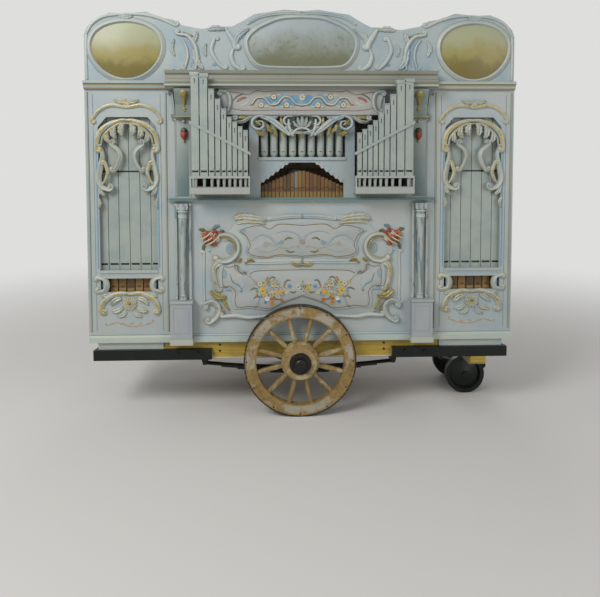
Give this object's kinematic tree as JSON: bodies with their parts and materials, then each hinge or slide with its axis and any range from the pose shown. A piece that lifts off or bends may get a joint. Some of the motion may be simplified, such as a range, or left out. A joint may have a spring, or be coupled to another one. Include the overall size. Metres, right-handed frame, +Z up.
{
  "type": "barrel organ",
  "caption": "Street barrel organ on a sprung two-wheel cart with steering truck, carved painted front with pipes, rear crank flywheel, bellows and key frame.",
  "frame": {"origin": "on the ground, midway between the ends of the wings and midway between the hub caps of the two big wheels", "axes": "+X along the organ to the right of someone facing the carved front, +Y from the carved front to the crank side, +Z up"},
  "size_m": [3.064, 1.414, 2.8897],
  "materials": {
    "case_paint": "satin oil paint on wood, off-white",
    "carving_paint": "oil paint on carved wood, ivory with ochre",
    "pipe_white": "white painted pipe wood",
    "pipe_brown": "varnished brown wood",
    "marble_paint": "blue-grey marbled paint",
    "cart_wood": "worn ochre painted wood",
    "wheel_wood": "worn ochre wheel wood",
    "case_wood": "plain waxed deal",
    "iron": "black greasy iron",
    "tyre_iron": "worn iron tyre",
    "steel": "oiled steel",
    "red_iron": "red painted cast iron",
    "leather": "pale sheepskin",
    "grip_wood": "hand-polished turned wood"
  },
  "bodies": {
    "cart": {"case_sides": "case_paint", "side_cabinets": "case_paint", "facade_upper_frame": "case_paint", "facade_lower_panel": "case_paint", "pedestals": "case_paint", "wing_panels": "case_paint", "main_cornice": "case_paint", "lower_cartouche": "carving_paint", "carved_scrolls": "carving_paint", "name_board": "carving_paint", "consoles": "carving_paint", "attic_board": "carving_paint", "attic_frames": "carving_paint", "front_pipes": "pipe_white", "round_pipes": "pipe_white", "wing_pipes": "pipe_white", "front_pipe_chests": "pipe_white", "brown_flute_pipes": "pipe_brown", "marbled_columns": "marble_paint", "chassis_beams": "cart_wood", "case_boards": "case_wood", "bellows_boards": "case_wood", "wind_chest": "case_wood", "key_frame": "case_wood", "end_channels": "iron", "chassis_bolts": "iron", "main_axle": "iron", "leaf_springs": "iron", "spring_irons": "iron", "turntable_irons": "iron", "crank_bearings": "iron", "door_hinges": "iron", "bellows_folds": "leather"},
    "front_wheel": {"front_wheel_tyre": "tyre_iron", "front_wheel_felloes": "wheel_wood", "front_wheel_spokes": "wheel_wood", "front_wheel_nave": "wheel_wood", "front_wheel_hub_irons": "iron"},
    "rear_wheel": {"rear_wheel_tyre": "tyre_iron", "rear_wheel_felloes": "wheel_wood", "rear_wheel_spokes": "wheel_wood", "rear_wheel_nave": "wheel_wood", "rear_wheel_hub_irons": "iron"},
    "truck": {"truck_block": "cart_wood", "truck_irons": "iron"},
    "truck_wheel_front": {"truck_wheel_front": "iron"},
    "truck_wheel_rear": {"truck_wheel_rear": "iron"},
    "crank": {"flywheel": "red_iron", "crankshaft": "steel"},
    "grip": {"crank_grip": "grip_wood"},
    "rod_rear": {"connecting_rod_rear": "case_wood"},
    "rod_front": {"connecting_rod_front": "case_wood"},
    "feeder_rear": {"feeder_board_rear": "case_wood"},
    "feeder_front": {"feeder_board_front": "case_wood"},
    "reservoir": {"reservoir_top": "case_wood"},
    "lid": {"key_frame_lid": "case_wood"},
    "roller": {"book_roller": "steel"},
    "upper_door_left": {"rear_door_left": "case_paint"},
    "upper_door_right": {"rear_door_right": "case_paint"},
    "lower_door": {"rear_lower_door": "case_paint"}
  },
  "joints": [
    {"name": "front_wheel_axle", "type": "hinge", "parent": "cart", "child": "front_wheel", "pos_m": [-0.02, -0.585, 0.4], "axis": [0, 1, 0], "continuous": true},
    {"name": "rear_wheel_axle", "type": "hinge", "parent": "cart", "child": "rear_wheel", "pos_m": [-0.02, 0.585, 0.4], "axis": [0, 1, 0], "continuous": true},
    {"name": "truck_kingpin", "type": "hinge", "parent": "cart", "child": "truck", "pos_m": [1.29, 0, 0.19], "axis": [0, 0, 1], "range_deg": [-60, 60]},
    {"name": "truck_wheel_front_axle", "type": "hinge", "parent": "truck", "child": "truck_wheel_front", "pos_m": [1.29, -0.19, 0.15], "axis": [0, 1, 0], "continuous": true},
    {"name": "truck_wheel_rear_axle", "type": "hinge", "parent": "truck", "child": "truck_wheel_rear", "pos_m": [1.29, 0.19, 0.15], "axis": [0, 1, 0], "continuous": true},
    {"name": "crank_axle", "type": "hinge", "parent": "cart", "child": "crank", "pos_m": [0.43, 0.5, 1.06], "axis": [0, 1, 0], "continuous": true},
    {"name": "crank_grip_pin", "type": "hinge", "parent": "crank", "child": "grip", "pos_m": [0.43, 0.6, 0.705], "axis": [0, 1, 0], "continuous": true},
    {"name": "rear_rod_eye", "type": "hinge", "parent": "crank", "child": "rod_rear", "pos_m": [0.47, 0.275, 1.06], "axis": [0, 1, 0], "continuous": true},
    {"name": "front_rod_eye", "type": "hinge", "parent": "crank", "child": "rod_front", "pos_m": [0.39, -0.045, 1.06], "axis": [0, 1, 0], "continuous": true},
    {"name": "rear_feeder_hinge", "type": "hinge", "parent": "cart", "child": "feeder_rear", "pos_m": [-0.5, 0.275, 0.67], "axis": [0, 1, 0], "range_deg": [-2.6, 2.6], "deforming": ["bellows_folds"]},
    {"name": "front_feeder_hinge", "type": "hinge", "parent": "cart", "child": "feeder_front", "pos_m": [-0.5, -0.045, 0.67], "axis": [0, 1, 0], "range_deg": [-2.6, 2.6], "deforming": ["bellows_folds"]},
    {"name": "reservoir_rise", "type": "slide", "parent": "cart", "child": "reservoir", "axis": [0, 0, 1], "range_m": [0, 0.08], "deforming": ["bellows_folds"]},
    {"name": "key_frame_lid_hinge", "type": "hinge", "parent": "cart", "child": "lid", "pos_m": [-0.2, 0.49, 1.73], "axis": [1, 0, 0], "range_deg": [0, 80]},
    {"name": "book_roller_axle", "type": "hinge", "parent": "cart", "child": "roller", "pos_m": [-0.024, 0.57, 1.673], "axis": [0, 1, 0], "continuous": true},
    {"name": "upper_left_door_hinge", "type": "hinge", "parent": "cart", "child": "upper_door_left", "pos_m": [-0.925, 0.4585, 2.1], "axis": [0, 0, 1], "range_deg": [0, 110]},
    {"name": "upper_right_door_hinge", "type": "hinge", "parent": "cart", "child": "upper_door_right", "pos_m": [0.925, 0.4585, 2.1], "axis": [0, 0, -1], "range_deg": [0, 110]},
    {"name": "lower_door_hinge", "type": "hinge", "parent": "cart", "child": "lower_door", "pos_m": [-0.925, 0.4585, 1.17], "axis": [0, 0, 1], "range_deg": [0, 110]}
  ],
  "couplings": [
    {"joint": "rear_rod_eye", "follows": "crank_axle", "ratio": -1},
    {"joint": "front_rod_eye", "follows": "crank_axle", "ratio": -1},
    {"joint": "book_roller_axle", "follows": "crank_axle", "ratio": 0.5}
  ]
}
